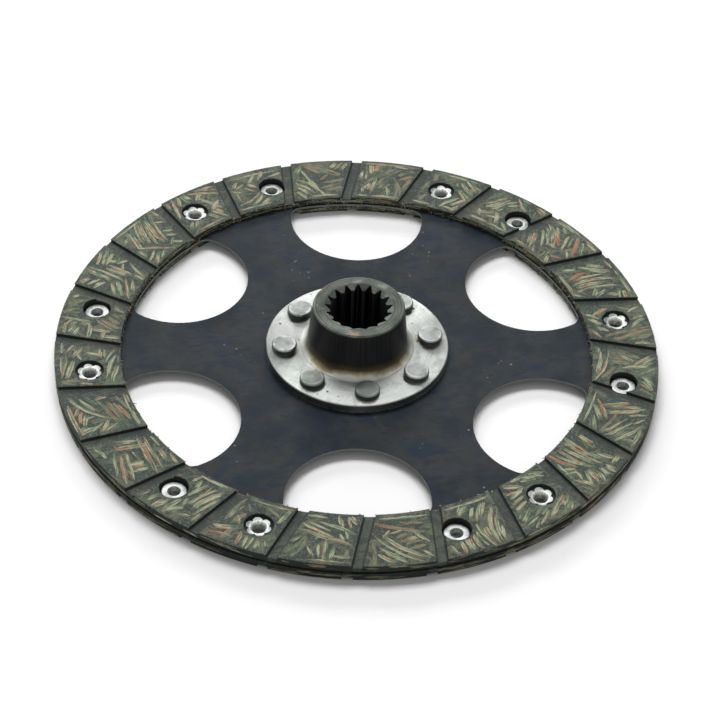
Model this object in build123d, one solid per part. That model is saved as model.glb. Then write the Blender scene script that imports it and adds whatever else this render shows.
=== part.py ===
from build123d import *
from math import asin, degrees, radians, sin, tan
import os

# Driven disc of a dry single-plate clutch: a thin steel carrier plate between two riveted
# friction linings, with a splined hub riveted to its middle.
#
# Lengths are in millimetres and angles in degrees. The disc's axis is +Z. The origin is on
# the axis, on the friction face of the lower lining. The first spoke of the plate is on +X.

# Friction linings
lining_outer_radius = 90.0
lining_width = 19.5
lining_thickness = 2.4

# Grooves across each lining, straight and leaning away from the radius
groove_count = 24
groove_width = 3.2
groove_depth = 0.9
groove_offset = 16.0  # from the disc's axis to the centreline of a groove
upper_groove_turn = 1.15  # where a groove crosses the rivet circle, from a spoke's middle
lower_groove_turn = 0.55  # the same on the lower lining, seen from its own friction face

# Carrier plate
plate_thickness = 0.8
plate_rim_setback = 1.6  # the plate's rim lies inside the rim of the linings
spoke_count = 6
window_radius = 20.85
window_centre_inset = 7.6  # from the bore of the linings to the centre of a window's circle
window_setback = 0.5  # the outer side of a window lies inside the bore of the linings
window_corner_radius = 4.0

# Tubular rivets that hold the linings: two on each spoke, one for each lining
rivet_circle_inset = 0.35  # the rivet circle lies inside the middle line of the linings
rivet_half_spread = 10.0  # from the middle of a spoke to each of its two rivets
tube_radius = 2.35
tube_wall = 0.6
tube_head_overhang = 1.35
tube_head_thickness = 0.65
web_thickness = 1.1  # what is left of a lining under the floor of a rivet pocket
pocket_room = 0.5  # between a rivet's head and the pocket's wall
pocket_clearance = 0.45  # between the spread end of a rivet and the pocket's wall

# Spread end of a tubular rivet: the tube is split and its tabs are bent out as petals
petal_count = 6
petal_root_margin = 0.35  # from the tube's outside to where two petals part
spread_seat_margin = 0.55  # width of the ring that bears on the web
spread_lift = 0.2  # the tips' underside over the web
spread_height = 0.55
bell_depth = 0.7  # the bore starts to widen this far under the web's surface
bell_bend_inset = 0.1  # from the tube's outside in to where the petals leave the bell
bell_bend_height = 0.1  # the same point over the web

# Internal spline
spline_teeth = 17
spline_minor_radius = 8.5
spline_depth = 1.55
space_mouth_width = 2.15  # tooth space at the minor radius
space_root_width = 0.4  # tooth space at the major radius
flank_bulge = 0.03
lead_in_margin = 0.25  # the countersink at each end reaches this far outside the teeth
lead_in_depth = 1.2
spline_turn = 90.9  # middle of the first tooth space

# Hub, built outwards from its spline
hub_height = 17.5  # from the plate to the end of the boss
boss_wall = 3.55  # outside the spline's spaces, at the end of the boss
boss_draft = 6.0  # the boss widens towards the flange
boss_root_radius = 3.0
boss_rim_chamfer = 0.5
flange_thickness = 2.8
flange_rim_width = 1.6  # outside the rivet heads
flange_edge_chamfer = 0.25
spigot_projection = 0.9  # how far the spigot stands out behind the plate
spigot_clearance = 0.05

# Solid rivets that hold the hub
hub_rivet_count = 8
hub_rivet_turn = 7.5
hub_rivet_radius = 2.5
hub_head_overhang = 1.2
hub_head_height = 2.0
hub_head_chamfer = 0.35
hub_head_gap = 3.05  # from the corner under the boss to the rivet heads
hub_set_height = 1.4  # the set end behind the plate
hub_set_gap = 2.2  # from the spigot to the set ends
spot_face_margin = 1.2  # the flange is faced flat from this far inside the rivet heads

rivet_hole_clearance = 0.05
cutter_overrun = 1.0

# Levels, in height
plate_bottom = lining_thickness
plate_top = plate_bottom + plate_thickness

# Linings and plate, from the outside inwards
lining_inner_radius = lining_outer_radius - lining_width
plate_radius = lining_outer_radius - plate_rim_setback
window_centre_radius = lining_inner_radius - window_centre_inset
window_outer_radius = lining_inner_radius - window_setback
spoke_pitch = 360 / spoke_count

# Tubular rivets
tube_circle_radius = (lining_inner_radius + lining_outer_radius) / 2 - rivet_circle_inset
tube_hole_radius = tube_radius + rivet_hole_clearance
tube_bore_radius = tube_radius - tube_wall
tube_head_radius = tube_radius + tube_head_overhang
pocket_radius = tube_head_radius + pocket_room
spread_radius = pocket_radius - pocket_clearance
spread_seat_radius = tube_radius + spread_seat_margin
petal_width = 2 * (tube_radius + petal_root_margin) * sin(radians(180 / petal_count))
bell_bend_radius = tube_radius - bell_bend_inset

# Hub and its rivets, from the inside outwards
spline_major_radius = spline_minor_radius + spline_depth
boss_height = hub_height - flange_thickness
boss_rim_radius = spline_major_radius + boss_wall
boss_foot_radius = boss_rim_radius + boss_height * tan(radians(boss_draft))
hub_head_radius = hub_rivet_radius + hub_head_overhang
hub_hole_radius = hub_rivet_radius + rivet_hole_clearance
hub_rivet_circle_radius = boss_foot_radius + hub_head_gap + hub_head_radius
spot_face_radius = hub_rivet_circle_radius - hub_head_radius - spot_face_margin
spigot_radius = hub_rivet_circle_radius - hub_head_radius - hub_set_gap
flange_radius = hub_rivet_circle_radius + hub_head_radius + flange_rim_width


def polar(radius, count, start):
    """Locations on a circle about the disc's axis, the first at the angle start."""
    return PolarLocations(radius, count, start)


def cylinders(radius, height, bottom, places):
    """Upright cylinders at some places, as cutters."""
    disc = sum([place * Circle(radius) for place in places], Sketch())
    return Pos(0, 0, bottom) * extrude(disc, height)


def revolved(outline):
    """Solid of revolution about the disc's axis from an outline in radius and height."""
    return revolve(Plane.XZ * make_face(outline), Axis.Z)


def groove_cutter(turn, offset):
    """All grooves of a lining, cut into its friction face at the height lining_thickness."""
    lean = degrees(asin(offset / tube_circle_radius))
    length = lining_outer_radius + cutter_overrun
    strip = Pos(length / 2, offset) * Rectangle(length, groove_width)
    strips = Sketch()
    for place in polar(0, groove_count, turn - lean):
        strips += place * strip
    floor = lining_thickness - groove_depth
    return Pos(0, 0, floor) * extrude(strips, groove_depth + cutter_overrun)


def lining(turn, offset):
    """One lining, its back at height zero and its friction face up."""
    ring = extrude(Circle(lining_outer_radius) - Circle(lining_inner_radius), lining_thickness)
    own_rivets = polar(tube_circle_radius, spoke_count, rivet_half_spread)
    other_rivets = polar(tube_circle_radius, spoke_count, -rivet_half_spread)
    ring -= cylinders(tube_hole_radius, web_thickness, 0, own_rivets)
    ring -= cylinders(pocket_radius, lining_thickness, web_thickness, own_rivets)
    ring -= cylinders(pocket_radius, lining_thickness, 0, other_rivets)
    return ring - groove_cutter(turn, offset)


def upper_lining():
    return Pos(0, 0, plate_top) * lining(upper_groove_turn, groove_offset)


def lower_lining():
    """The opposite hand of the upper one, so that both sets of grooves lean the same way."""
    return Pos(0, 0, plate_bottom) * Rot(180, 0, 0) * lining(lower_groove_turn, -groove_offset)


def window():
    """One window: a circle cut off by the bore of the linings, with rounded corners."""
    beyond = Pos(window_centre_radius, 0) * Circle(window_radius)
    outline = beyond & Rot(0, 0, 180) * Circle(window_outer_radius)
    return fillet(outline.vertices(), window_corner_radius)


def carrier_plate():
    plate = Circle(plate_radius) - Circle(spigot_radius + spigot_clearance)
    for place in polar(0, spoke_count, spoke_pitch / 2):
        plate -= place * window()
    for place in polar(hub_rivet_circle_radius, hub_rivet_count, hub_rivet_turn):
        plate -= place * Circle(hub_hole_radius)
    for side in (rivet_half_spread, -rivet_half_spread):
        for place in polar(tube_circle_radius, spoke_count, side):
            plate -= place * Circle(tube_hole_radius)
    return Pos(0, 0, plate_bottom) * extrude(plate, plate_thickness)


def spline_space():
    """One tooth space of the spline, pointing along +X and open towards the bore."""
    mouth = space_mouth_width / 2
    root = space_root_width / 2
    middle_radius = (spline_minor_radius + spline_major_radius) / 2
    middle = (mouth + root) / 2 + flank_bulge
    inside = spline_minor_radius - cutter_overrun
    flank = ThreePointArc(
        (spline_minor_radius, mouth), (middle_radius, middle), (spline_major_radius, root)
    )
    other_flank = ThreePointArc(
        (spline_major_radius, -root), (middle_radius, -middle), (spline_minor_radius, -mouth)
    )
    bottom = Line((spline_major_radius, root), (spline_major_radius, -root))
    opening = Polyline(
        (spline_minor_radius, -mouth), (inside, -mouth), (inside, mouth), (spline_minor_radius, mouth)
    )
    return make_face([flank, bottom, other_flank, opening])


def hub_blank():
    """The turned hub before its spline and rivet holes, its flange seated at height zero."""
    back = -(plate_thickness + spigot_projection)
    lead_in = spline_major_radius + lead_in_margin
    foot = (boss_foot_radius, flange_thickness)
    chamfer_drop = boss_rim_chamfer * tan(radians(boss_draft))
    section = make_face(
        Polyline(
            (lead_in, back),
            (spigot_radius, back),
            (spigot_radius, 0),
            (flange_radius, 0),
            (flange_radius, flange_thickness - flange_edge_chamfer),
            (flange_radius - flange_edge_chamfer, flange_thickness),
            foot,
            (boss_rim_radius + chamfer_drop, hub_height - boss_rim_chamfer),
            (boss_rim_radius - boss_rim_chamfer, hub_height),
            (lead_in, hub_height),
            (spline_minor_radius, hub_height - lead_in_depth),
            (spline_minor_radius, back + lead_in_depth),
            (lead_in, back),
        )
    )
    corner = section.vertices().sort_by_distance(foot)[0]
    return revolve(Plane.XZ * fillet(corner, boss_root_radius), Axis.Z)


def splined_hub():
    hub = hub_blank()
    faced = Circle(flange_radius + cutter_overrun) - Circle(spot_face_radius)
    hub -= Pos(0, 0, flange_thickness) * extrude(faced, cutter_overrun)
    spaces = Sketch()
    for place in polar(0, spline_teeth, spline_turn):
        spaces += place * spline_space()
    below = plate_thickness + spigot_projection + cutter_overrun
    hub -= Pos(0, 0, -below) * extrude(spaces, below + hub_height + cutter_overrun)
    rivets = polar(hub_rivet_circle_radius, hub_rivet_count, hub_rivet_turn)
    hub -= cylinders(hub_hole_radius, flange_thickness, 0, rivets)
    return Pos(0, 0, plate_top) * hub


def hub_rivet():
    """Solid rivet with its head on the flange and its set end behind the plate."""
    head_seat = plate_top + flange_thickness
    head_top = head_seat + hub_head_height
    set_end = plate_bottom - hub_set_height
    outline = Polyline(
        (0, set_end),
        (hub_head_radius, set_end),
        (hub_head_radius, plate_bottom),
        (hub_rivet_radius, plate_bottom),
        (hub_rivet_radius, head_seat),
        (hub_head_radius, head_seat),
        (hub_head_radius, head_top - hub_head_chamfer),
        (hub_head_radius - hub_head_chamfer, head_top),
        (0, head_top),
        (0, set_end),
    )
    return revolved(outline)


def petals(grip):
    """The tabs of the spread end, all round, rising from the web to their round tips."""
    side = Polyline(
        (0, grip),
        (spread_seat_radius, grip),
        (spread_radius, grip + spread_lift),
        (spread_radius, grip + spread_height),
        (bell_bend_radius, grip + bell_bend_height),
        (0, grip + bell_bend_height),
        (0, grip),
    )
    petal = extrude(Plane.XZ * make_face(side), petal_width / 2, both=True)
    reach = Pos(0, 0, grip) * extrude(Circle(spread_radius), spread_height)
    return reach & sum([place * petal for place in polar(0, petal_count, 0)], Part())


def rivet_bore(grip):
    """The tube's bore and the bell that its spread end opens into, as a cutter."""
    slope = (bell_bend_radius - tube_bore_radius) / (bell_bend_height + bell_depth)
    top = spread_height + cutter_overrun
    below = tube_head_thickness + cutter_overrun
    return revolved(
        Polyline(
            (0, -below),
            (tube_bore_radius, -below),
            (tube_bore_radius, grip - bell_depth),
            (tube_bore_radius + slope * (top + bell_depth), grip + top),
            (0, grip + top),
            (0, -below),
        )
    )


def lining_rivet():
    """Tubular rivet: its head's seat at height zero, its tube up, its end spread on the web."""
    grip = plate_thickness + web_thickness
    tube = extrude(Circle(tube_radius), grip)
    head = extrude(Circle(tube_head_radius), -tube_head_thickness)
    return head + tube + petals(grip) - rivet_bore(grip)


def save(part, name):
    export_step(part, os.path.join("parts", name + ".step"))


def main():
    os.makedirs("parts", exist_ok=True)
    save(carrier_plate(), "carrier_plate")
    save(splined_hub(), "splined_hub")
    save(upper_lining(), "upper_lining")
    save(lower_lining(), "lower_lining")
    solid_rivet = hub_rivet()
    places = polar(hub_rivet_circle_radius, hub_rivet_count, hub_rivet_turn)
    for number, place in enumerate(places, start=1):
        save(place * solid_rivet, f"hub_rivet_{number}")
    tube_rivet = lining_rivet()
    places = polar(tube_circle_radius, spoke_count, rivet_half_spread)
    for number, place in enumerate(places, start=1):
        save(Pos(0, 0, plate_bottom) * place * tube_rivet, f"upper_lining_rivet_{number}")
    turned = Rot(180, 0, 0) * tube_rivet
    places = polar(tube_circle_radius, spoke_count, -rivet_half_spread)
    for number, place in enumerate(places, start=1):
        save(Pos(0, 0, plate_top) * place * turned, f"lower_lining_rivet_{number}")


main()
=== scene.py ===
import random
from functools import cached_property
from itertools import groupby
from math import asin, atan2, ceil, cos, hypot, pi, radians, sin, sqrt

import bmesh
import bpy
from mathutils import Matrix, Vector


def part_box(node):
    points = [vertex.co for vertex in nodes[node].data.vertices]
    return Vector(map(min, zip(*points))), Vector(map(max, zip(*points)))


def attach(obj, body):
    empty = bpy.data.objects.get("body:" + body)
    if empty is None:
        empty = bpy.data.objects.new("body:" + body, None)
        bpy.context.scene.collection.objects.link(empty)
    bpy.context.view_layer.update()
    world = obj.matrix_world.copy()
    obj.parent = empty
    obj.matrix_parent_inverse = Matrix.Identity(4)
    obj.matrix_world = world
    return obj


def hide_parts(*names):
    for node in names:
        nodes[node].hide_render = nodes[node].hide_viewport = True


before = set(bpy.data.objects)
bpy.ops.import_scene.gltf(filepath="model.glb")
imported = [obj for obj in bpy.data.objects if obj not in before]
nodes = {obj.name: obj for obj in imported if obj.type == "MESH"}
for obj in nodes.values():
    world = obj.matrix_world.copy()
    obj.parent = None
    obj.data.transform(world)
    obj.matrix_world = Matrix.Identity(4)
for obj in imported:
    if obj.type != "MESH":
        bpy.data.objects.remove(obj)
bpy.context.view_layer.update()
MM = 0.001

# Sizes of the CAD model that its node boxes don't give, in metres
LINING_BORE = 70.5 * MM
RIVET_CIRCLE = 79.9 * MM
SPOKES = 6
RIVET_SPREAD = radians(10.0)  # from the middle of a spoke to the rivet on either side
POCKET_RADIUS = 4.2 * MM
WEB = 1.1 * MM  # what is left of a lining under a rivet pocket
GROOVE_COUNT = 24
GROOVE_PITCH = 2 * pi / GROOVE_COUNT
GROOVE_WIDTH = 3.2 * MM
GROOVE_OFFSET = 16.0 * MM  # from the disc's axis to the middle line of a groove
GROOVE_DEPTH = 0.9 * MM
UPPER_GROOVE = radians(1.15)  # where a groove crosses the rivet circle
LOWER_GROOVE = radians(-0.55)

# The lining rivets
TUBE_RADIUS = 2.35 * MM
TUBE_BORE = 1.75 * MM
TUBE_HEAD_RADIUS = 3.7 * MM
TUBE_HEAD_THICKNESS = 0.65 * MM
TUBE_DRAWN_LENGTH = 3.05 * MM  # from the head through the bore to where the petals start
PETALS = 6

# The hub and its rivets
FLANGE_THICKNESS = 2.8 * MM
BOSS_FOOT = 17.0 * MM  # where the root of the boss runs out into the flange
BOSS_RIM = 13.6 * MM
SPLINE_TIP = 8.5 * MM
LEAD_IN_RADIUS = 10.3 * MM
LEAD_IN_DEPTH = 1.2 * MM
HUB_RIVETS = 8
HUB_RIVET_TURN = radians(7.5)
HUB_RIVET_CIRCLE = 21.9 * MM
HUB_HEAD_RADIUS = 3.7 * MM

# The strands, which the CAD model doesn't have
YARN_HUES = {  # of the valleys between a yarn's fibres, then those that it drifts through
    "ground": (
        (0.030, 0.043, 0.025), (0.037, 0.060, 0.032), (0.071, 0.102, 0.055),
        (0.165, 0.175, 0.108), (0.190, 0.150, 0.085), (0.145, 0.078, 0.040),
    ),
    "pale": (
        (0.062, 0.086, 0.048), (0.080, 0.125, 0.068), (0.155, 0.215, 0.120),
        (0.28, 0.33, 0.20), (0.43, 0.42, 0.29), (0.32, 0.25, 0.14), (0.24, 0.12, 0.060),
    ),
    "copper": ((0.09, 0.05, 0.03), (0.36, 0.28, 0.16), (0.34, 0.15, 0.08), (0.24, 0.08, 0.04)),
}
YARN_KINDS = tuple(YARN_HUES)
YARN_RISE = 0.05 * MM  # how far the tallest yarns stand over the resin
YARN_STEP = 1.2 * MM  # between the points of a yarn's path, at most
SHORTEST_RUN = 4  # points that a stretch of yarn has at least
LOOSE_FIBRES = 760  # along the bore and rim of each lining
RIM_YARNS = 170  # on the outer wall of each lining
BORE_YARNS = 300
UPPER_SEED, LOWER_SEED, FIBRE_SEED = 11, 23, 5

# The photograph's camera, relative to the middle of the plate
PHOTO_SIDE = 720  # pixels
FOCAL_PIXELS = 2358.93
CAMERA_ELEVATION = radians(42.277)
CAMERA_ROLL = radians(2.588)
CAMERA_DISTANCE = 706.7 * MM
CAMERA_PAN = (0.92 * MM, -2.65 * MM)
SENSOR_MM = 36.0
DISC_TURN = radians(1.96)  # how far the disc is turned in the photograph

# The studio, in metres and watts. The lamps look at the origin.
FLOOR_HALF = 2.0
FLOOR_GAP = 0.02 * MM  # between the floor and the lower lining
WORLD_LIGHT = 0.25
LAMPS = (  # name, place, size, power
    ("key", (-0.35, 1.64, 3.08), (2.6, 1.3), 88.0),
    ("low", (-0.50, 3.10, 1.47), (3.0, 0.7), 65.0),
    ("front", (0.40, -3.00, 1.70), (2.6, 1.2), 8.0),
)

upper_low, upper_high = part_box("upper_lining")
lower_low, lower_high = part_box("lower_lining")
LINING_RADIUS = upper_high.x
PLATE_BOTTOM, PLATE_TOP = lower_high.z, upper_low.z
FRICTION_TOP = upper_high.z
HUB_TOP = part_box("splined_hub")[1].z
FLANGE_TOP = PLATE_TOP + FLANGE_THICKNESS


# ---------------------------------------------------------------- node trees

class Nodes:
    """The node tree of a material or world, and short calls for what goes into it."""

    def __init__(self, owner, end):
        owner.use_nodes = True
        self.tree = owner.node_tree
        self.end = self.tree.nodes[end]

    def node(self, kind, inputs=(), **settings):
        made = self.tree.nodes.new("ShaderNode" + kind)
        for key, value in settings.items():
            setattr(made, key, value)
        for socket, value in dict(inputs).items():
            self.feed(made.inputs[socket], value)
        return made

    def feed(self, socket, value):
        if isinstance(value, bpy.types.NodeSocket):
            self.tree.links.new(value, socket)
        elif socket.type == "RGBA":
            socket.default_value = (*value, 1.0)
        else:
            socket.default_value = value

    def put(self, socket, value):
        """Feeds the shader at the end of the tree."""
        self.feed(self.end.inputs[socket], value)

    @cached_property
    def place(self):
        """A point's place in metres, on the axes that all pieces share."""
        return self.node("TexCoord").outputs["Object"]

    def stretched(self, scale, turn):
        """The place turned about Z, then scaled along its new axes."""
        size = [1.0 / part for part in scale]
        inputs = {"Vector": self.place, "Scale": size, "Rotation": (0.0, 0.0, turn)}
        return self.node("Mapping", inputs, vector_type="TEXTURE").outputs["Vector"]

    def noise(self, scale, detail=3.0, roughness=0.55, distortion=0.0, at=None):
        """Cloudy noise from 0 to 1, with scale cells to the metre unless at is given."""
        made = self.node(
            "TexNoise",
            {"Vector": at or self.place, "Scale": scale, "Detail": detail,
             "Roughness": roughness, "Distortion": distortion},
        )
        return made.outputs["Fac"]

    def streaks(self, along, across, along_scale, across_scale, **kind):
        """Noise with a scale of its own along each of two coordinates."""
        drawn = self.join(self.times(along, along_scale), self.times(across, across_scale), 0.0)
        return self.noise(1.0, at=drawn, **kind)

    def cells(self, scale):
        """Distance to the nearest of many scattered points, in widths of a cell."""
        made = self.node("TexVoronoi", {"Vector": self.place, "Scale": scale})
        return made.outputs["Distance"]

    def math(self, operation, first, second=0.0, clamp=False):
        made = self.node("Math", {0: first, 1: second}, operation=operation, use_clamp=clamp)
        return made.outputs[0]

    def plus(self, first, second):
        return self.math("ADD", first, second)

    def minus(self, first, second):
        return self.math("SUBTRACT", first, second)

    def times(self, first, second):
        return self.math("MULTIPLY", first, second)

    def both(self, first, second):
        """The mask of where two masks overlap."""
        return self.math("MULTIPLY", first, second, clamp=True)

    def band(self, value, low, high, out_low=0.0, out_high=1.0, smooth=True):
        """value going from low to high becomes out_low to out_high, held outside."""
        made = self.node(
            "MapRange",
            {"Value": value, "From Min": low, "From Max": high, "To Min": out_low,
             "To Max": out_high},
            interpolation_type="SMOOTHSTEP" if smooth else "LINEAR",
        )
        return made.outputs["Result"]

    def mix(self, factor, first, second):
        """The colour first where factor is 0 and second where it is 1."""
        return self.node("Mix", {0: factor, 6: first, 7: second}, data_type="RGBA").outputs[2]

    def cover(self, colour, hue, value, start, full, share=1.0):
        """colour with none of hue over it where value is start, and share of it at full."""
        return self.mix(self.band(value, start, full, 0.0, share), colour, hue)

    def between(self, factor, first, second):
        """The number first where factor is 0 and second where it is 1."""
        return self.node("Mix", {0: factor, 2: first, 3: second}, data_type="FLOAT").outputs[0]

    def ramp(self, value, *stops):
        """The colour at value, where each stop is a value and its red, green and blue."""
        made = self.node("ValToRGB", {"Fac": value})
        elements = made.color_ramp.elements
        while len(elements) < len(stops):
            elements.new(0.5)
        for element, (place, *hue) in zip(elements, stops):
            element.position = place
            element.color = (*hue, 1.0)
        return made.outputs["Color"]

    def split(self, vector):
        return self.node("SeparateXYZ", {"Vector": vector}).outputs

    def join(self, x, y, z):
        return self.node("CombineXYZ", {"X": x, "Y": y, "Z": z}).outputs["Vector"]

    def polar(self):
        """(radius, angle, height) of the place about the disc's axis."""
        x, y, z = self.split(self.place)
        square = self.plus(self.times(x, x), self.times(y, y))
        return self.math("SQRT", square), self.math("ARCTAN2", y, x), z

    def level(self):
        """1 on level surfaces and 0 on walls."""
        outward = self.node("NewGeometry").outputs["Normal"]
        return self.math("ABSOLUTE", self.split(outward)[2])

    def upright(self):
        """0 on level surfaces and 1 on walls."""
        return self.minus(1.0, self.level())

    def grain(self):
        """(along, across) in metres, from the UV map that the script's own meshes carry."""
        along, across, _ = self.split(self.node("UVMap", uv_map="grain").outputs["UV"])
        return along, across

    def from_centres(self, circle, count, start):
        """Distance to the nearest of count centres spaced evenly round a circle."""
        radius, angle, _ = self.polar()
        pitch = 2 * pi / count
        turn = self.plus(self.minus(angle, start), pitch / 2)
        turn = self.minus(turn, self.math("SNAP", turn, pitch))
        turn = self.minus(turn, pitch / 2)
        along = self.minus(self.times(radius, self.math("COSINE", turn)), circle)
        aside = self.times(radius, self.math("SINE", turn))
        offset = self.join(along, aside, 0.0)
        return self.node("VectorMath", {"Vector": offset}, operation="LENGTH").outputs["Value"]

    def looked_at(self):
        """1 where the camera or polished metal looks, and 0 for light that falls on things."""
        path = self.node("LightPath").outputs
        return self.math("MAXIMUM", path["Is Camera Ray"], path["Is Glossy Ray"])


class Shader(Nodes):
    """A material with a Principled shader."""

    def __init__(self, name, roughness=0.5, metallic=0.0, specular=0.5):
        self.material = bpy.data.materials.new(name)
        super().__init__(self.material, "Principled BSDF")
        self.put("Roughness", roughness)
        self.put("Metallic", metallic)
        self.put("Specular IOR Level", specular)

    def colour(self, value):
        self.put("Base Color", value)

    def rough(self, value):
        self.put("Roughness", value)

    def bump(self, height, depth, strength):
        made = self.node("Bump", {"Height": height, "Distance": depth, "Strength": strength})
        self.put("Normal", made.outputs["Normal"])


# ----------------------------------------------------------------- materials
# Colours are red, green and blue in linear light.

WHITE = (1.0, 1.0, 1.0)


def plate_steel():
    """Phosphated sheet steel: nearly black, blue and brown in patches, with dust in places."""
    shader = Shader("plate_steel", specular=0.05)
    coat = shader.ramp(
        shader.noise(62.0, detail=5.0, roughness=0.62),
        (0.34, 0.010, 0.016, 0.026),
        (0.46, 0.018, 0.025, 0.032),
        (0.56, 0.034, 0.038, 0.040),
        (0.66, 0.015, 0.026, 0.043),
    )
    mottle = shader.noise(210.0, detail=5.0, at=shader.stretched((0.7, 2.0, 1.0), 0.2))
    coat = shader.cover(coat, (0.037, 0.034, 0.029), mottle, 0.53, 0.68, 0.65)
    coat = shader.cover(coat, (0.009, 0.016, 0.030), mottle, 0.47, 0.33, 0.75)
    grain = shader.noise(1900.0, roughness=0.7)
    coat = shader.cover(coat, (0.034, 0.039, 0.046), grain, 0.50, 0.80, 0.5)
    dust = shader.cells(420.0)
    rare = shader.noise(70.0, detail=2.0)
    speck = shader.both(shader.band(dust, 0.18, 0.10), shader.band(rare, 0.60, 0.66))
    coat = shader.mix(shader.times(speck, 0.8), coat, (0.22, 0.24, 0.26))
    # Walls lighter: bare sheared steel, lightened further as a painted highlight along the edges.
    bare_edge_and_highlight = (0.22, 0.235, 0.22)
    shader.colour(shader.cover(coat, bare_edge_and_highlight, shader.upright(), 0.1, 0.5, 0.85))
    shader.rough(shader.band(mottle, 0.3, 0.7, 0.42, 0.60))
    shader.bump(grain, 0.01 * MM, 0.5)
    return shader.material


def flange_colour(shader, clouds, rings):
    """Turned steel with a dull film, scratches, pits and rust, and painted shade on its walls."""
    steel = shader.ramp(
        clouds,
        (0.30, 0.20, 0.215, 0.20),
        (0.50, 0.285, 0.295, 0.285),
        (0.70, 0.38, 0.38, 0.37),
    )
    steel = shader.cover(steel, (0.20, 0.21, 0.20), rings, 0.40, 0.60, 0.55)
    film = shader.noise(260.0, detail=5.0, roughness=0.65)
    steel = shader.cover(steel, (0.150, 0.170, 0.150), film, 0.50, 0.66, 0.55)
    scratch = shader.noise(1.0, at=shader.stretched((260.0, 2300.0, 900.0), 0.9))
    steel = shader.cover(steel, (0.12, 0.13, 0.12), scratch, 0.58, 0.72, 0.5)
    specks = shader.cells(420.0)
    where = shader.noise(210.0, detail=1.0)
    pits = shader.both(shader.band(specks, 0.22, 0.12), shader.band(where, 0.54, 0.60))
    steel = shader.mix(pits, steel, (0.05, 0.045, 0.04))
    rust = shader.noise(90.0, detail=5.0, roughness=0.7)
    steel = shader.cover(steel, (0.38, 0.29, 0.17), rust, 0.61, 0.69, 0.7)
    # Painted shade: the flange's walls are darkened towards near black.
    return shader.cover(steel, (0.042, 0.047, 0.044), shader.upright(), 0.5, 0.95, 0.85)


def boss_side_colour(shader, polar, clouds):
    """The blackened side of the boss, with heat tint and a painted highlight at the front of its
    root, plainer towards the back.
    """
    radius, angle, height = polar
    black = shader.ramp(
        shader.noise(40.0, at=shader.join(shader.times(angle, 3.0), radius, height)),
        (0.3, 0.008, 0.010, 0.010),
        (0.6, 0.021, 0.022, 0.021),
        (0.8, 0.045, 0.040, 0.034),
    )
    uneven = shader.times(shader.minus(clouds, 0.5), 4.5 * MM)
    level = shader.plus(shader.minus(height, FLANGE_TOP), uneven)
    root = shader.band(level, 0.0, 4.8 * MM, smooth=False)
    # Front of the root: brown heat tint, with a painted highlight lighter than the flange.
    tinted_and_lit_front = shader.ramp(
        root,
        (0.0, 0.33, 0.335, 0.32),
        (0.10, 0.37, 0.36, 0.32),
        (0.24, 0.20, 0.18, 0.12),
        (0.44, 0.060, 0.048, 0.026),
        (1.0, 0.013, 0.014, 0.013),
    )
    plain_back = shader.ramp(
        root,
        (0.0, 0.33, 0.335, 0.32),
        (0.12, 0.27, 0.29, 0.26),
        (0.40, 0.090, 0.105, 0.088),
        (1.0, 0.014, 0.015, 0.013),
    )
    # Painted highlight: the lighter, tinted root at the front, the plain one towards the back.
    _, y, _ = shader.split(shader.place)
    foot = shader.mix(shader.band(y, -11.0 * MM, 2.0 * MM), tinted_and_lit_front, plain_back)
    return shader.mix(shader.band(level, 3.0 * MM, 5.2 * MM), foot, black)


def boss_end_colour(shader, radius, clouds, rings):
    """The boss's upper end: turned in rings, and stained."""
    end = shader.ramp(
        shader.band(radius, LEAD_IN_RADIUS, BOSS_RIM, smooth=False),
        (0.00, 0.090, 0.100, 0.088),
        (0.10, 0.022, 0.026, 0.022),
        (0.22, 0.088, 0.097, 0.086),
        (0.42, 0.055, 0.066, 0.054),
        (0.55, 0.094, 0.099, 0.084),
        (0.72, 0.036, 0.045, 0.036),
        (0.86, 0.130, 0.139, 0.123),
        (1.00, 0.050, 0.060, 0.050),
    )
    end = shader.cover(end, (0.030, 0.034, 0.030), clouds, 0.58, 0.36, 0.75)
    stain = shader.noise(300.0, detail=4.0)
    end = shader.cover(end, (0.14, 0.128, 0.12), stain, 0.54, 0.66, 0.55)
    copper = shader.noise(200.0)
    end = shader.cover(end, (0.20, 0.13, 0.095), copper, 0.63, 0.70, 0.6)
    return shader.cover(end, (0.030, 0.040, 0.030), rings, 0.42, 0.60, 0.5)


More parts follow.
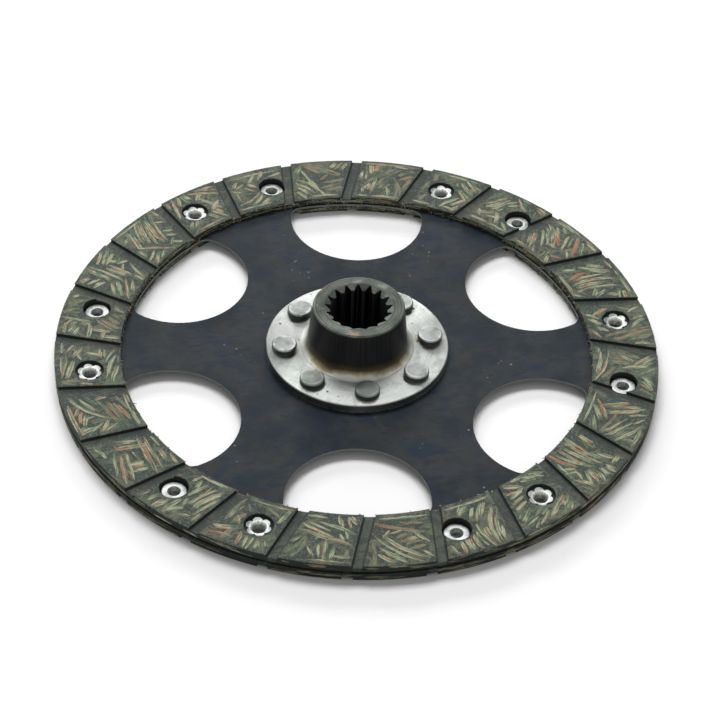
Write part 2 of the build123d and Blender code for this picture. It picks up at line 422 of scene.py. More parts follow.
def turned_steel():
    """The hub: turned flange and boss end, a blackened boss, and a spline bore painted near black
    as shade.
    """
    shader = Shader("hub_steel", metallic=1.0)
    shader.put("Anisotropic", 0.9)
    shader.put("Anisotropic Rotation", 0.25)
    shader.put("Tangent", shader.node("Tangent", direction_type="RADIAL").outputs[0])
    polar = shader.polar()
    radius, angle, height = polar
    fine = shader.join(shader.times(radius, 5200.0), angle, 0.0)
    rings = shader.noise(1.0, detail=2.0, at=fine)
    clouds = shader.noise(120.0, detail=4.0)

    on_boss = shader.both(
        shader.band(radius, BOSS_FOOT + 1.2 * MM, BOSS_FOOT - 0.6 * MM),
        shader.band(height, HUB_TOP - 0.2 * MM, HUB_TOP - 0.5 * MM),
    )
    slope = LEAD_IN_DEPTH / (LEAD_IN_RADIUS - SPLINE_TIP)
    lead_in = shader.times(shader.minus(LEAD_IN_RADIUS, radius), slope)
    lead_in = shader.math("MINIMUM", shader.math("MAXIMUM", lead_in, 0.0), LEAD_IN_DEPTH)
    below_end = shader.minus(shader.minus(HUB_TOP, lead_in), height)
    on_end = shader.band(below_end, 0.6 * MM, 0.4 * MM)
    bore_shade = shader.both(
        shader.band(radius, LEAD_IN_RADIUS + 0.4 * MM, LEAD_IN_RADIUS),
        shader.band(below_end, 0.04 * MM, 0.3 * MM),
    )

    colour = flange_colour(shader, clouds, rings)
    colour = shader.mix(on_boss, colour, boss_side_colour(shader, polar, clouds))
    colour = shader.mix(on_end, colour, boss_end_colour(shader, radius, clouds, rings))
    # Painted shade: the spline bore is near black.
    shader.colour(shader.mix(bore_shade, colour, (0.016, 0.017, 0.018)))
    dull = shader.math("MAXIMUM", on_boss, on_end)
    shader.rough(shader.between(dull, shader.band(clouds, 0.2, 0.8, 0.30, 0.46), 0.45))
    shader.bump(rings, 0.03 * MM, 0.6)
    return shader.material


def hub_rivet_steel():
    """Pressed steel: scratched heads with a painted highlight along the rim, dull in the middle,
    and painted shade on the sides and on the two rivets in front.
    """
    shader = Shader("hub_rivet_steel", metallic=1.0)
    clouds = shader.noise(330.0, detail=4.0, roughness=0.6)
    scratch = shader.noise(1.0, at=shader.stretched((300.0, 2600.0, 900.0), 0.6))
    colour = shader.cover((0.085, 0.092, 0.088), (0.17, 0.178, 0.172), clouds, 0.30, 0.70)
    from_middle = shader.from_centres(HUB_RIVET_CIRCLE, HUB_RIVETS, HUB_RIVET_TURN)
    uneven = shader.times(shader.minus(clouds, 0.5), 3.0 * MM)
    from_middle = shader.plus(from_middle, uneven)
    # Painted highlight: a pale ring along the rim of each head.
    highlight_from, highlight_at = HUB_HEAD_RADIUS - 1.1 * MM, HUB_HEAD_RADIUS - 0.2 * MM
    colour = shader.cover(colour, (0.25, 0.255, 0.25), from_middle, highlight_from, highlight_at, 0.8)
    _, y, _ = shader.split(shader.place)
    shaded_front_two = (0.060, 0.070, 0.062)  # painted shade: the two rivets in front of the boss are darker
    colour = shader.cover(colour, shaded_front_two, y, -16.5 * MM, -19.0 * MM, 0.55)
    colour = shader.cover(colour, (0.055, 0.060, 0.055), scratch, 0.58, 0.72, 0.5)
    # Painted shade: the sides of the heads are darkened.
    side = (0.03, 0.04, 0.03)
    shader.colour(shader.cover(colour, side, shader.upright(), 0.45, 0.95, 0.8))
    shader.rough(shader.band(clouds, 0.25, 0.75, 0.34, 0.52))
    shader.bump(scratch, 0.02 * MM, 0.4)
    return shader.material


def tube_steel():
    """Tubular rivets: grey outside, paler and rougher where drawn, in the bore and the bell."""
    shader = Shader("lining_rivet_steel", metallic=1.0)
    along, around = shader.grain()
    clouds = shader.noise(420.0, detail=4.0, roughness=0.6)
    plain = shader.cover((0.16, 0.167, 0.163), (0.30, 0.31, 0.30), clouds, 0.35, 0.65)
    marks = shader.streaks(along, around, 500.0, 2400.0)
    drawn = shader.cover((0.30, 0.31, 0.29), (0.60, 0.62, 0.59), marks, 0.35, 0.65)
    inside = shader.band(along, TUBE_DRAWN_LENGTH + 0.15 * MM, TUBE_DRAWN_LENGTH - 0.25 * MM)
    shader.colour(shader.mix(inside, plain, drawn))
    shader.rough(shader.between(inside, shader.band(clouds, 0.3, 0.7, 0.36, 0.50), 0.55))
    shader.bump(marks, 0.02 * MM, 0.4)
    return shader.material


# Yarns that show through the resin: shift of their noise, heading and hue
BURIED_YARNS = (
    (0.4, 0.3, (0.130, 0.150, 0.095)),
    (3.1, 1.4, (0.100, 0.130, 0.080)),
    (6.7, 2.5, (0.130, 0.115, 0.075)),
)


def resin_colour(shader, grain):
    """Dark grey-green and grainy, with faint yarns in patches."""
    colour = shader.ramp(
        shader.noise(170.0, detail=4.0),
        (0.25, 0.015, 0.022, 0.018),
        (0.50, 0.024, 0.034, 0.027),
        (0.75, 0.040, 0.054, 0.039),
    )
    for shift, heading, hue in BURIED_YARNS:
        lines = shader.stretched((95.0, 520.0, 95.0), heading)
        strokes = shader.noise(1.0, detail=2.0, roughness=0.6, distortion=0.5, at=lines)
        moved_on = {"Vector": shader.place, "Location": (shift, shift, 0.0)}
        patch = shader.noise(130.0, detail=1.0, at=shader.node("Mapping", moved_on).outputs[0])
        shown = shader.both(shader.band(strokes, 0.50, 0.60), shader.band(patch, 0.46, 0.58))
        colour = shader.mix(shader.times(shown, 0.60), colour, hue)
    colour = shader.cover(colour, (0.16, 0.185, 0.145), grain, 0.51, 0.64, 0.55)
    return shader.cover(colour, (0.016, 0.019, 0.018), grain, 0.42, 0.30, 0.8)


def with_grooves(shader, colour, face, polar, grain):
    """colour with dull groove floors, painted shade in dark lines along the grooves and black in
    their corners.
    """
    radius, angle, height = polar
    sweep = shader.math("ARCSINE", shader.math("DIVIDE", GROOVE_OFFSET, radius))
    turn = shader.minus(shader.minus(angle, sweep), face.groove_start)
    nearest = shader.math("SNAP", shader.plus(turn, GROOVE_PITCH / 2), GROOVE_PITCH)
    turn = shader.minus(turn, nearest)
    across = shader.times(radius, shader.math("SINE", shader.plus(turn, sweep)))
    from_wall = shader.math("ABSOLUTE", shader.minus(across, GROOVE_OFFSET))
    from_wall = shader.minus(from_wall, GROOVE_WIDTH / 2)
    ragged = shader.plus(from_wall, shader.times(shader.minus(grain, 0.5), 0.6 * MM))
    depth = shader.times(shader.minus(face.height, height), face.up)

    floor = shader.band(depth, GROOVE_DEPTH * 0.5, GROOVE_DEPTH * 0.8, 0.0, 0.45)
    floor = shader.both(floor, shader.band(from_wall, 0.2 * MM, -0.2 * MM))
    # Painted shade: dark lines along the groove edges, and black in the corners next to the walls.
    edge_shade = shader.band(shader.math("ABSOLUTE", ragged), 0.30 * MM, 0.12 * MM)
    corner = shader.band(ragged, -0.7 * MM, -0.2 * MM)
    corner = shader.both(corner, shader.band(depth, 0.1 * MM, 0.5 * MM, 0.0, 0.85))
    colour = shader.mix(floor, colour, (0.022, 0.026, 0.026))
    colour = shader.mix(shader.times(edge_shade, 0.42), colour, (0.010, 0.013, 0.011))
    return shader.mix(corner, colour, (0.003, 0.004, 0.003))


def with_walls(shader, colour, polar):
    """colour with painted shade on upright walls, less at the bore, with pale plies along them."""
    radius, angle, height = polar
    wall = shader.band(shader.level(), 0.6, 0.3)
    share = shader.band(radius, LINING_BORE + 1.0 * MM, LINING_BORE + 2.0 * MM, 0.12, 0.36)
    # Painted shade: walls darkened towards near black, less at the bore.
    colour = shader.mix(shader.times(wall, share), colour, (0.006, 0.010, 0.007))
    layers = shader.streaks(angle, height, 22.0, 1500.0, detail=4.0, distortion=0.6)
    ply = shader.both(wall, shader.band(layers, 0.58, 0.74, 0.0, 0.3))
    return shader.mix(ply, colour, (0.15, 0.16, 0.10))


def friction_matrix(name, face):
    """The friction material of one lining, between its yarns."""
    shader = Shader(name, roughness=0.78, specular=0.35)
    polar = shader.polar()
    grain = shader.noise(1700.0, roughness=0.7)
    colour = resin_colour(shader, grain)
    colour = with_grooves(shader, colour, face, polar, grain)
    shader.colour(with_walls(shader, colour, polar))
    shader.bump(grain, 0.06 * MM, 0.7)
    return shader.material


def friction_yarn(name, valley, *hues):
    """Yarn that drifts between its hues along its length, with darker valleys between fibres."""
    shader = Shader(name, roughness=0.72, specular=0.35)
    along, across = shader.grain()
    drift = shader.streaks(along, across, 210.0, 330.0, detail=2.0, roughness=0.5)
    last = len(hues) - 1
    stops = [(0.33 + 0.36 * index / last, *hue) for index, hue in enumerate(hues)]
    colour = shader.ramp(drift, *stops)
    fibres = shader.streaks(along, across, 420.0, 5200.0, roughness=0.65)
    shader.colour(shader.cover(colour, valley, fibres, 0.52, 0.34, 0.7))
    shader.bump(fibres, 0.05 * MM, 0.8)
    return shader.material


def floor_paper():
    """Pale paper that is white where it is looked at."""
    shader = Shader("floor_paper", roughness=0.9, specular=0.0)
    grain = shader.noise(900.0, detail=2.0)
    paper = shader.mix(grain, (0.84, 0.84, 0.84), (0.87, 0.87, 0.87))
    shader.colour(shader.mix(shader.looked_at(), paper, WHITE))
    return shader.material


# ------------------------------------------------------------------ geometry

def add_piece(name, verts, faces, uvs, material):
    """A mesh piece that rides on the disc. uvs has one pair for each corner of each face."""
    mesh = bpy.data.meshes.new(name)
    mesh.from_pydata(verts, [], faces)
    mesh.materials.append(material)
    mesh.polygons.foreach_set("use_smooth", [True] * len(faces))
    layer = mesh.uv_layers.new(name="grain")
    layer.data.foreach_set("uv", [part for pair in uvs for part in pair])
    mesh.update()
    piece = bpy.data.objects.new(name, mesh)
    bpy.context.scene.collection.objects.link(piece)
    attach(piece, "root")
    return piece


def finish(piece, material, edge):
    """Gives a piece its material and, with modifiers, slightly rounded edges."""
    piece.data.materials.clear()
    piece.data.materials.append(material)
    weld = piece.modifiers.new("weld", "WELD")
    weld.merge_threshold = 0.002 * MM
    bevel = piece.modifiers.new("edges", "BEVEL")
    bevel.limit_method = "ANGLE"
    bevel.angle_limit = radians(35.0)
    bevel.width = edge
    bevel.segments = 2
    bevel.harden_normals = True


def on_circle(radius, angle):
    return radius * cos(angle), radius * sin(angle)


def moved(point, heading, ahead, aside):
    """The point that lies ahead along a heading, and aside to the left of it."""
    return (
        point[0] + cos(heading) * ahead - sin(heading) * aside,
        point[1] + sin(heading) * ahead + cos(heading) * aside,
    )


class Face:
    """One friction face: where its grooves, pockets and rims are, for whatever lies on it."""

    def __init__(self, height, up, groove_start, inner, outer):
        self.height = height
        self.back = height - up * (FRICTION_TOP - PLATE_TOP)  # the lining's face on the plate
        self.up = up
        self.groove_start = groove_start
        self.inner = inner
        self.outer = outer

    def cut_clearance(self, x, y):
        """Distance to the nearest groove or rivet pocket, negative inside one."""
        radius = hypot(x, y)
        turn = atan2(y, x) - asin(GROOVE_OFFSET / radius) - self.groove_start
        nearest = self.groove_start + round(turn / GROOVE_PITCH) * GROOVE_PITCH
        room = radius
        for groove in (nearest - GROOVE_PITCH, nearest, nearest + GROOVE_PITCH):
            across = y * cos(groove) - x * sin(groove)
            room = min(room, abs(across - GROOVE_OFFSET) - GROOVE_WIDTH / 2)
        spoke = 2 * pi / SPOKES
        from_spoke = (atan2(y, x) + spoke / 2) % spoke - spoke / 2
        for side in (RIVET_SPREAD, -RIVET_SPREAD):
            away = from_spoke - side
            gap = sqrt(radius**2 + RIVET_CIRCLE**2 - 2 * radius * RIVET_CIRCLE * cos(away))
            room = min(room, gap - POCKET_RADIUS)
        return room

    def clearance(self, x, y):
        """Distance to the nearest edge of the friction surface, negative off it."""
        radius = hypot(x, y)
        return min(radius - self.inner, self.outer - radius, self.cut_clearance(x, y))


class Layer:
    """Strands of one kind that become one piece."""

    def __init__(self):
        self.verts, self.faces, self.uvs = [], [], []

    def build(self, name, material):
        add_piece(name, self.verts, self.faces, self.uvs, material)


class Strands(Layer):
    """The yarns of one kind on one surface."""

    # Cross-sections: places across, in half widths, and their lift, in rises
    flat = ((-1.0, -0.6), (-0.7, 0.4), (0.7, 0.4), (1.0, -0.6))
    round = ((-1.0, -0.2), (0.0, 1.0), (1.0, -0.2))

    def add(self, path, widths, place, rise, shift, profile=round):
        """A yarn along path. place(x, y, lift) gives a point over the surface it lies on."""
        first = len(self.verts)
        travelled = 0.0
        grain = []
        for index, (x, y) in enumerate(path):
            before, after = path[max(index - 1, 0)], path[min(index + 1, len(path) - 1)]
            heading = atan2(after[1] - before[1], after[0] - before[0])
            if index:
                travelled += hypot(x - path[index - 1][0], y - path[index - 1][1])
            for across, lift in profile:
                offset = across * widths[index] / 2
                self.verts.append(place(*moved((x, y), heading, 0.0, offset), lift * rise))
                grain.append((travelled + shift[0], offset + shift[1]))
        row = len(profile)
        for index in range(len(path) - 1):
            for step in range(row - 1):
                corner = index * row + step
                quad = (corner, corner + 1, corner + row + 1, corner + row)
                self.faces.append(tuple(first + vertex for vertex in quad))
                self.uvs += [grain[vertex] for vertex in quad]


def random_shift(rng):
    """Where in its material's noise a strand lies, so that no two look the same."""
    return rng.uniform(0, 9), rng.uniform(0, 9)


def yarn_path(rng, centre, heading, length, bend):
    """Middle line of a yarn: a shallow arc with a little wander."""
    steps = max(4, ceil(length / YARN_STEP))
    wander = rng.uniform(0.02, 0.12) * MM
    phase = rng.uniform(0, 2 * pi)
    path = []
    for step in range(steps + 1):
        along = (step / steps - 0.5) * length
        across = bend * along**2 + wander * sin(phase + 5 * pi * step / steps)
        path.append(moved(centre, heading, along, across))
    return path


def yarn_widths(rng, path, width):
    """Full width in the middle, narrow and rounded at both ends, never quite even."""
    last = len(path) - 1
    return [
        width * (1 - abs(2 * step / last - 1) ** 3 * 0.8) * rng.uniform(0.92, 1.06)
        for step in range(last + 1)
    ]


def runs_where(path, allowed):
    """The stretches of a path whose points are all allowed."""
    runs = [list(run) for is_allowed, run in groupby(path, allowed) if is_allowed]
    return [run for run in runs if len(run) >= SHORTEST_RUN]


class Weave:
    """Lays yarns on one friction face so that bundles don't run through each other."""

    cell = 0.5 * MM  # side of the squares that note which bundles lie where
    gap = 0.12 * MM  # between a yarn and an edge of the face
    rim_arcs = 44
    bundle_pitch = 6.2 * MM
    short_yarns = 420

    def __init__(self, face, seed):
        self.face = face
        self.rng = random.Random(seed)
        self.layers = {kind: Strands() for kind in YARN_KINDS}
        self.taken = {}

    def place(self, x, y, lift):
        return (x, y, self.face.height + self.face.up * (lift - YARN_RISE))

    def footprint(self, point, heading, width):
        """The middle and both edges of a yarn at a point of its path."""
        for across in (-width / 2, 0.0, width / 2):
            yield moved(point, heading, 0.0, across)

    def spot(self, point):
        return round(point[0] / self.cell), round(point[1] / self.cell)

    def free(self, point, heading, width, number):
        """Whether a yarn of bundle number has room here."""
        return all(
            self.face.clearance(*side) > self.gap
            and self.taken.get(self.spot(side), set()) <= {number}
            for side in self.footprint(point, heading, width + 0.3 * MM)
        )

    def yarn(self, number, centre, heading, length, bend, width, rise, kind="pale"):
        """A dull flat yarn with brighter fibres along it, left out where it has no room."""
        rng = self.rng
        shift = random_shift(rng)
        spine = yarn_path(rng, centre, heading, length, bend)
        for run in runs_where(spine, lambda point: self.free(point, heading, width, number)):
            last = len(run) - 1
            self.layers["ground"].add(
                run, yarn_widths(rng, run, width), self.place, 0.6 * rise, shift, Strands.flat
            )
            for _ in range(round(width / (0.34 * MM))):
                first = rng.randint(0, max(0, last // 3))
                end = rng.randint(last - last // 3, last)
                if end - first < 2:
                    continue
                aside = rng.uniform(-0.38, 0.38) * width
                skew = rng.uniform(-0.03, 0.03)
                path = [
                    moved(run[index], heading, 0.0, aside + skew * (index - last / 2) * YARN_STEP)
                    for index in range(first, end + 1)
                ]
                widths = yarn_widths(rng, path, rng.uniform(0.32, 0.74) * MM)
                own_kind = kind if rng.random() < 0.90 else "copper"
                height = rng.uniform(0.75, 1.0) * rise
                grain = (shift[0], shift[1] + aside)
                self.layers[own_kind].add(path, widths, self.place, height, grain)
            for point in run:
                for side in self.footprint(point, heading, width):
                    self.taken.setdefault(self.spot(side), set()).add(number)

    def bundle(self, number, radius, angle, parity):
        """A few parallel yarns side by side, most of them leaning to the side of their parity."""
        rng = self.rng
        lean = rng.choice((0.55, 0.9, 1.2)) if rng.random() < 0.75 else rng.uniform(-0.3, 0.3)
        heading = angle + (lean if parity else -lean) + rng.uniform(-0.2, 0.2)
        bend = rng.choice((0.0, 8.0, -12.0, 20.0, -24.0, 30.0))
        pitch = rng.uniform(1.45, 2.0) * MM
        rise = rng.uniform(0.4, 1.0) * YARN_RISE
        count = rng.choice((3, 3, 4, 4, 5))
        for line in range(count):
            aside = (line - (count - 1) / 2) * pitch
            ahead = rng.uniform(-1.8, 1.8) * MM
            centre = moved(on_circle(radius, angle), heading, ahead, aside)
            slant = heading + rng.uniform(-0.12, 0.12)
            length = rng.uniform(11.0, 22.0) * MM
            width = rng.uniform(1.0, 1.9) * MM
            if rng.random() < 0.025:
                kind = "copper"
            else:
                kind = "pale" if rise > 0.52 * YARN_RISE else "ground"
            self.yarn(number, centre, slant, length, bend, width, rise, kind)

    def bundle_spots(self):
        """Radius, angle and parity of spots on even rings, in random order."""
        inner, breadth = self.face.inner, self.face.outer - self.face.inner
        rings = ceil(breadth / self.bundle_pitch)
        spots = []
        for ring in range(rings):
            radius = inner + (ring + 0.5) * breadth / rings
            count = round(2 * pi * radius / self.bundle_pitch)
            for index in range(count):
                spots.append((radius, 2 * pi * (index + ring / 2) / count, index % 2))
        self.rng.shuffle(spots)
        return spots

    def fill(self):
        """Long yarns round both rims, bundles all over the face, then short yarns in the gaps."""
        rng, face = self.rng, self.face
        number = 0
        for _ in range(self.rim_arcs):
            number += 1
            radius = rng.choice((face.outer, face.inner + 3.0 * MM)) - rng.uniform(0.9, 2.4) * MM
            angle = rng.uniform(0, 2 * pi)
            centre, along_rim, bend = on_circle(radius, angle), angle + pi / 2, 0.5 / radius
            length = rng.uniform(12.0, 22.0) * MM
            width = rng.uniform(0.8, 1.3) * MM
            self.yarn(number, centre, along_rim, length, bend, width, YARN_RISE)
        for radius, angle, parity in self.bundle_spots():
            number += 1
            radius += rng.uniform(-1.5, 1.5) * MM
            angle += rng.uniform(-1.5, 1.5) * MM / radius
            self.bundle(number, radius, angle, parity)
        for _ in range(self.short_yarns):
            number += 1
            centre = on_circle(rng.uniform(face.inner, face.outer), rng.uniform(0, 2 * pi))
            length = rng.uniform(3.0, 8.0) * MM
            width = rng.uniform(0.35, 0.8) * MM
            kind = rng.choice(("ground", "pale"))
            heading = rng.uniform(0, pi)
            self.yarn(number, centre, heading, length, 0.0, width, 0.6 * YARN_RISE, kind)


def lining_body(node, face, material):
    """A lining like its CAD node, set back where yarns lie proud of it."""
    piece = nodes[node].copy()
    piece.data = nodes[node].data.copy()
    piece.name = piece.data.name = node + "_body"
    bpy.context.scene.collection.objects.link(piece)
    near = 0.01 * MM
    for vertex in piece.data.vertices:
        radius = hypot(vertex.co.x, vertex.co.y)
        if radius > LINING_RADIUS - near:
            vertex.co.xy *= (LINING_RADIUS - YARN_RISE) / radius
        if abs(vertex.co.z - face.height) < near:
            vertex.co.z -= face.up * YARN_RISE
    finish(piece, material, edge=0.14 * MM)
    for key in list(piece.keys()):  # the copy isn't a CAD node, so it drops the node's own notes
        del piece[key]
    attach(piece, "root")
    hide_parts(node)


def rivet_mesh(rng):
    """Tubular rivet about its own axis: head seat at height zero, split end up.

    The grid runs round the rivet and along its profile: up the bore, over the petals, down the
    outside and round the head. Its UV map gives the distance along the profile and round it.
    """
    grip, below = PLATE_TOP - PLATE_BOTTOM + WEB, -TUBE_HEAD_THICKNESS
    around = 20 * PETALS
    root = TUBE_RADIUS + 0.30 * MM
    reach = [rng.uniform(3.56, 3.74) * MM for _ in range(PETALS)]
    lift = [rng.uniform(0.26, 0.38) * MM for _ in range(PETALS)]
    turn = rng.uniform(-0.2, 0.2)
    verts, grain = [], []
    for step in range(around):
        angle = 2 * pi * step / around
        petal = int(step * PETALS / around)
        inside = (step * PETALS / around) % 1.0 - 0.5
        out = max(0.0, cos(pi * inside)) ** 0.6  # 0 in a slit and 1 along the middle of a petal
        tip = root + (reach[petal] - root) * out
        petal_length = tip - root
        bend = grip + 0.17 * MM
        top = bend + lift[petal] * out
        profile = (
            # Up the bore, which widens towards the petals
            (TUBE_BORE, below + 0.18 * MM),
            (TUBE_BORE, grip - 0.95 * MM),
            (TUBE_BORE + 0.06 * MM, grip - 0.6 * MM),
            (TUBE_BORE + 0.20 * MM, grip - 0.3 * MM),
            (TUBE_BORE + 0.38 * MM, grip - 0.05 * MM),
            (TUBE_RADIUS - 0.07 * MM, grip + 0.10 * MM),
            # Over a petal and back under it
            (root, bend),
            (root + petal_length * 0.50, bend + (top - bend) * 0.40),
            (root + petal_length * 0.88, bend + (top - bend) * 0.90),
            (tip - 0.02 * MM * out, top),
            (tip, top - 0.07 * MM),
            (tip - 0.03 * MM * out, max(top - 0.26 * MM, grip)),
            (root + petal_length * 0.60, grip + 0.08 * MM * out),
            (root + 0.10 * MM * out, grip),
            # Down the outside and round the head
            (TUBE_RADIUS, grip - 0.01 * MM),
            (TUBE_RADIUS, 0.0),
            (TUBE_HEAD_RADIUS - 0.10 * MM, 0.0),
            (TUBE_HEAD_RADIUS, -0.10 * MM),
            (TUBE_HEAD_RADIUS, below + 0.22 * MM),
            (TUBE_HEAD_RADIUS - 0.08 * MM, below + 0.07 * MM),
            (TUBE_HEAD_RADIUS - 0.28 * MM, below),
            (TUBE_BORE + 0.30 * MM, below),
            (TUBE_BORE + 0.08 * MM, below + 0.05 * MM),
        )
        along = 0.0
        for index, (radius, height) in enumerate(profile):
            if index:
                along += hypot(radius - profile[index - 1][0], height - profile[index - 1][1])
            verts.append((*on_circle(radius, angle + turn), height))
            grain.append((along, angle * TUBE_RADIUS))
    row = len(verts) // around
    turned = 2 * pi / around * TUBE_RADIUS
    closing = 0.15 * MM  # from the last point of the profile back to its first
    faces, uvs = [], []
    for step in range(around):
        here, there = step * row, (step + 1) % around * row
        for index in range(row):
            after = (index + 1) % row
            faces.append((here + index, there + index, there + after, here + after))
            start, side = grain[here + index]
            end = grain[here + after][0] if after else start + closing
            uvs += [(start, side), (start, side + turned), (end, side + turned), (end, side)]
    return verts, faces, uvs


def lining_rivets(prefix, up, material):
    """The six rivets of one lining, each with its own petals."""
    seat = PLATE_BOTTOM if up > 0 else PLATE_TOP
    for number in range(1, SPOKES + 1):
        node = f"{prefix}_lining_rivet_{number}"
        low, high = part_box(node)
        centre = (low + high) / 2
        turn = atan2(centre.y, centre.x)
        verts, faces, uvs = rivet_mesh(random.Random(node))
        verts = [(*moved(centre, turn, x, up * y), seat + up * z) for x, y, z in verts]
        piece = add_piece(node + "_split", verts, faces, uvs, material)
        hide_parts(node)


class Fibres(Layer):
    """Thin round fibres and crumbs of one kind."""

    sides = 5

    def close(self, corners, shift):
        """A face, with a small patch of its own on the UV map."""
        self.faces.append(tuple(corners))
        for corner in corners:
            along, across = 0.3 * MM * (corner % 5), 0.2 * MM * (corner % 3)
            self.uvs.append((shift[0] + along, shift[1] + across))

    def fibre(self, points, radius, shift):
        """A fibre along points that gets thinner towards its end."""
        sides = self.sides
        first = len(self.verts)
        last = len(points) - 1
        for index, point in enumerate(points):
            ahead = Vector(points[min(index + 1, last)]) - Vector(points[max(index - 1, 0)])
            across = ahead.cross(Vector((0.3, 0.2, 1.0))).normalized()
            over = across.cross(ahead).normalized()
            thick = radius * (1.0 - 0.55 * index / last)
            for side in range(sides):
                angle = 2 * pi * side / sides
                spoke = cos(angle) * across + sin(angle) * over
                self.verts.append(tuple(Vector(point) + thick * spoke))
        for index in range(last):
            here = first + index * sides
            ahead = here + sides
            for side in range(sides):
                after = (side + 1) % sides
                self.close((here + side, here + after, ahead + after, ahead + side), shift)
        self.close([first + side for side in reversed(range(sides))], shift)
        self.close([first + last * sides + side for side in range(sides)], shift)

    def crumb(self, rng, centre, size, shift):
        """A small uneven lump."""
        made = bmesh.new()
        bmesh.ops.create_icosphere(made, subdivisions=1, radius=size)
        stretch = Vector([rng.uniform(0.6, 1.3) for _ in range(3)])
        first = len(self.verts)
        for vertex in made.verts:
            grown = vertex.co * rng.uniform(0.75, 1.2)
            offset = Vector([part * factor for part, factor in zip(grown, stretch)])
            self.verts.append(tuple(Vector(centre) + offset))
        for face in made.faces:
            self.close([first + vertex.index for vertex in face.verts], shift)
        made.free()


def loose_fibre(rng, face):
    """Points along a fibre that hangs out of the bore, or more rarely the rim, of a lining."""
    inner_side = rng.random() < 0.85
    radius = face.inner if inner_side else face.outer - 0.12 * MM
    angle = rng.uniform(0, 2 * pi)
    level = rng.uniform(0.0, 1.0)
    if face.cut_clearance(*on_circle(radius, angle)) < 0:
        level *= 0.5
    height = face.back + (face.height - face.back) * level
    outward = -1 if inner_side else 1
    length = (rng.uniform(0.3, 1.2) if inner_side else rng.uniform(0.1, 0.35)) * MM
    sweep = rng.uniform(-1.2, 1.2)
    steps = 4
    points = []
    for step in range(steps + 1):
        t = step / steps
        reach = radius + outward * (length * t - 0.25 * MM) * cos(sweep)
        at = angle + length * t * sin(sweep) / radius
        drop = -0.35 * length * t * t + rng.uniform(-0.04, 0.04) * MM
        held = min(max(height + drop, 0.22 * MM), FRICTION_TOP - 0.2 * MM)
        points.append((*on_circle(reach, at), held))
    return points


def add_crumbs(rng, face, layers):
    """A few crumbs where each groove opens into the bore."""
    for groove in range(GROOVE_COUNT):
        mouth = face.groove_start + 2 * pi * groove / GROOVE_COUNT
        mouth += asin(GROOVE_OFFSET / face.inner)
        for _ in range(rng.choice((1, 2, 4, 6))):
            at = mouth + rng.uniform(-2.2, 2.2) * MM / face.inner
            radius = face.inner + rng.uniform(-0.15, 0.5) * MM
            x, y = on_circle(radius, at)
            floor = face.height
            if face.cut_clearance(x, y) < 0:
                floor -= face.up * GROOVE_DEPTH
            size = rng.uniform(0.16, 0.48) * MM
            level = max(floor - face.up * 0.7 * size, 1.7 * size)
            shift = random_shift(rng)
            kind = "copper" if rng.random() < 0.6 else "pale"
            layers[kind].crumb(rng, (x, y, level), size, shift)


def frayed_edges(faces, seed):
    """Loose fibres along the bore and rim of the linings, and crumbs at the grooves."""
    rng = random.Random(seed)
    layers = {kind: Fibres() for kind in YARN_KINDS}
    for face in faces:
        for _ in range(LOOSE_FIBRES):
            points = loose_fibre(rng, face)
            kind = rng.choices(YARN_KINDS, (0.36, 0.54, 0.10))[0]
            shift = random_shift(rng)
            layers[kind].fibre(points, rng.uniform(0.08, 0.19) * MM, shift)
        add_crumbs(rng, face, layers)
    return layers


def wall_yarns(face, radius, outward, count, width_range, shares, seed):
    """Yarns that show on an upright wall of a lining, lying along it. shares is by kind."""
    rng = random.Random(seed)
    layers = {kind: Strands() for kind in YARN_KINDS}
    low, high = min(face.back, face.height), max(face.back, face.height)

    def place(along, height, lift):
        x, y = on_circle(radius + outward * lift, along / radius)
        return (x, y, min(max(height, low), high))

    round_it = 2 * pi * radius
    for _ in range(count):
        length = rng.uniform(3.0, 12.0) * MM
        width = rng.uniform(*width_range) * MM
        centre = (rng.uniform(0, round_it), rng.uniform(low + 0.3 * MM, high - 0.3 * MM))
        path = yarn_path(rng, centre, rng.uniform(-0.10, 0.10), length, 0.0)

        def allowed(point):
            along, height = point
            if not low + width / 2 < height < high - width / 2:
                return False
            deep = abs(height - face.height) > GROOVE_DEPTH + width / 2
            return deep or face.cut_clearance(*on_circle(radius, along / radius)) > 0.2 * MM

        kind = rng.choices(YARN_KINDS, shares)[0]
        shift = random_shift(rng)
        for run in runs_where(path, allowed):
            if outward < 0:
                run.reverse()
            layers[kind].add(run, yarn_widths(rng, run, width), place, 0.8 * YARN_RISE, shift)
    return layers


# ------------------------------------------------------------------ assembly

hub_rivet_material = hub_rivet_steel()
lining_rivet_material = tube_steel()
yarns = {kind: friction_yarn("yarn_" + kind, *hues) for kind, hues in YARN_HUES.items()}

finish(nodes["carrier_plate"], plate_steel(), edge=0.10 * MM)
finish(nodes["splined_hub"], turned_steel(), edge=0.12 * MM)
for node, piece in nodes.items():
    if node.startswith("hub_rivet_"):
        finish(piece, hub_rivet_material, edge=0.12 * MM)

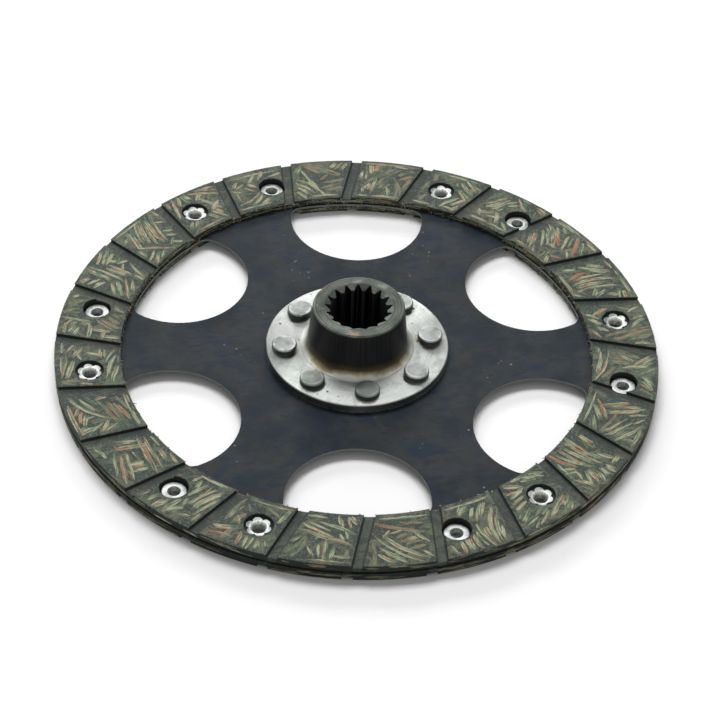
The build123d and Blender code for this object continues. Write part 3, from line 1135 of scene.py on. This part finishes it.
lean = asin(GROOVE_OFFSET / RIVET_CIRCLE)
upper = Face(FRICTION_TOP, 1, UPPER_GROOVE - lean, LINING_BORE, LINING_RADIUS - YARN_RISE)
lower = Face(lower_low.z, -1, LOWER_GROOVE - lean, LINING_BORE, LINING_RADIUS - YARN_RISE)
for prefix, face, seed in (("upper", upper, UPPER_SEED), ("lower", lower, LOWER_SEED)):
    lining_body(prefix + "_lining", face, friction_matrix(prefix + "_friction_matrix", face))
    lining_rivets(prefix, face.up, lining_rivet_material)
    woven = Weave(face, seed)
    woven.fill()
    rim_shares, bore_shares = (0.78, 0.14, 0.08), (0.30, 0.65, 0.05)
    rim = wall_yarns(face, face.outer, 1, RIM_YARNS, (0.35, 0.85), rim_shares, seed + 1)
    bore = wall_yarns(face, face.inner, -1, BORE_YARNS, (0.2, 0.5), bore_shares, seed + 2)
    for where, layers in (("face", woven.layers), ("rim", rim), ("bore", bore)):
        for kind, layer in layers.items():
            layer.build(f"{prefix}_lining_{where}_yarn_{kind}", yarns[kind])
for kind, layer in frayed_edges((upper, lower), FIBRE_SEED).items():
    layer.build(f"lining_fibres_{kind}", yarns[kind])


# --------------------------------------------------------- floor, light, camera

def build_floor():
    mesh = bpy.data.meshes.new("floor")
    corners = [(x * FLOOR_HALF, y * FLOOR_HALF, 0) for x, y in ((-1, -1), (1, -1), (1, 1), (-1, 1))]
    mesh.from_pydata(corners, [], [(0, 1, 2, 3)])
    floor = bpy.data.objects.new("floor", mesh)
    floor.location.z = -FLOOR_GAP
    mesh.materials.append(floor_paper())
    bpy.context.scene.collection.objects.link(floor)


def build_world():
    """Even light from all sides, and white where it is looked at."""
    world = bpy.data.worlds.new("studio")
    bpy.context.scene.world = world
    sky = Nodes(world, "Background")
    sky.put("Color", WHITE)
    sky.put("Strength", sky.band(sky.looked_at(), 0.0, 1.0, WORLD_LIGHT, 1.0, smooth=False))


def area_light(name, place, size, watts):
    data = bpy.data.lights.new(name, "AREA")
    data.shape = "RECTANGLE"
    data.size, data.size_y = size
    data.energy = watts
    light = bpy.data.objects.new(name, data)
    light.location = place
    light.rotation_euler = (-Vector(place)).to_track_quat("-Z", "Y").to_euler()
    bpy.context.scene.collection.objects.link(light)


def build_camera():
    """The photograph's camera, from a fit to the outlines of the disc in it."""
    back = Vector((0.0, -cos(CAMERA_ELEVATION), sin(CAMERA_ELEVATION)))
    right = Vector((1.0, 0.0, 0.0))
    up = back.cross(right)
    rolled_right = cos(CAMERA_ROLL) * right + sin(CAMERA_ROLL) * up
    rolled_up = cos(CAMERA_ROLL) * up - sin(CAMERA_ROLL) * right
    place = CAMERA_DISTANCE * back + CAMERA_PAN[0] * rolled_right + CAMERA_PAN[1] * rolled_up
    axes = Matrix((rolled_right, rolled_up, back)).transposed().to_4x4()
    pose = Matrix.Translation(place) @ axes
    data = bpy.data.cameras.new("camera")
    data.sensor_width = SENSOR_MM
    data.lens = data.sensor_width * FOCAL_PIXELS / PHOTO_SIDE
    camera = bpy.data.objects.new("camera", data)
    disc_turn = Matrix.Rotation(-DISC_TURN, 4, "Z")
    plate_middle = Matrix.Translation((0, 0, (PLATE_BOTTOM + PLATE_TOP) / 2))
    camera.matrix_world = plate_middle @ disc_turn @ pose
    bpy.context.scene.collection.objects.link(camera)
    bpy.context.scene.camera = camera


build_floor()
build_world()
for lamp in LAMPS:
    area_light(*lamp)
build_camera()
bpy.context.scene.view_settings.view_transform = "Standard"
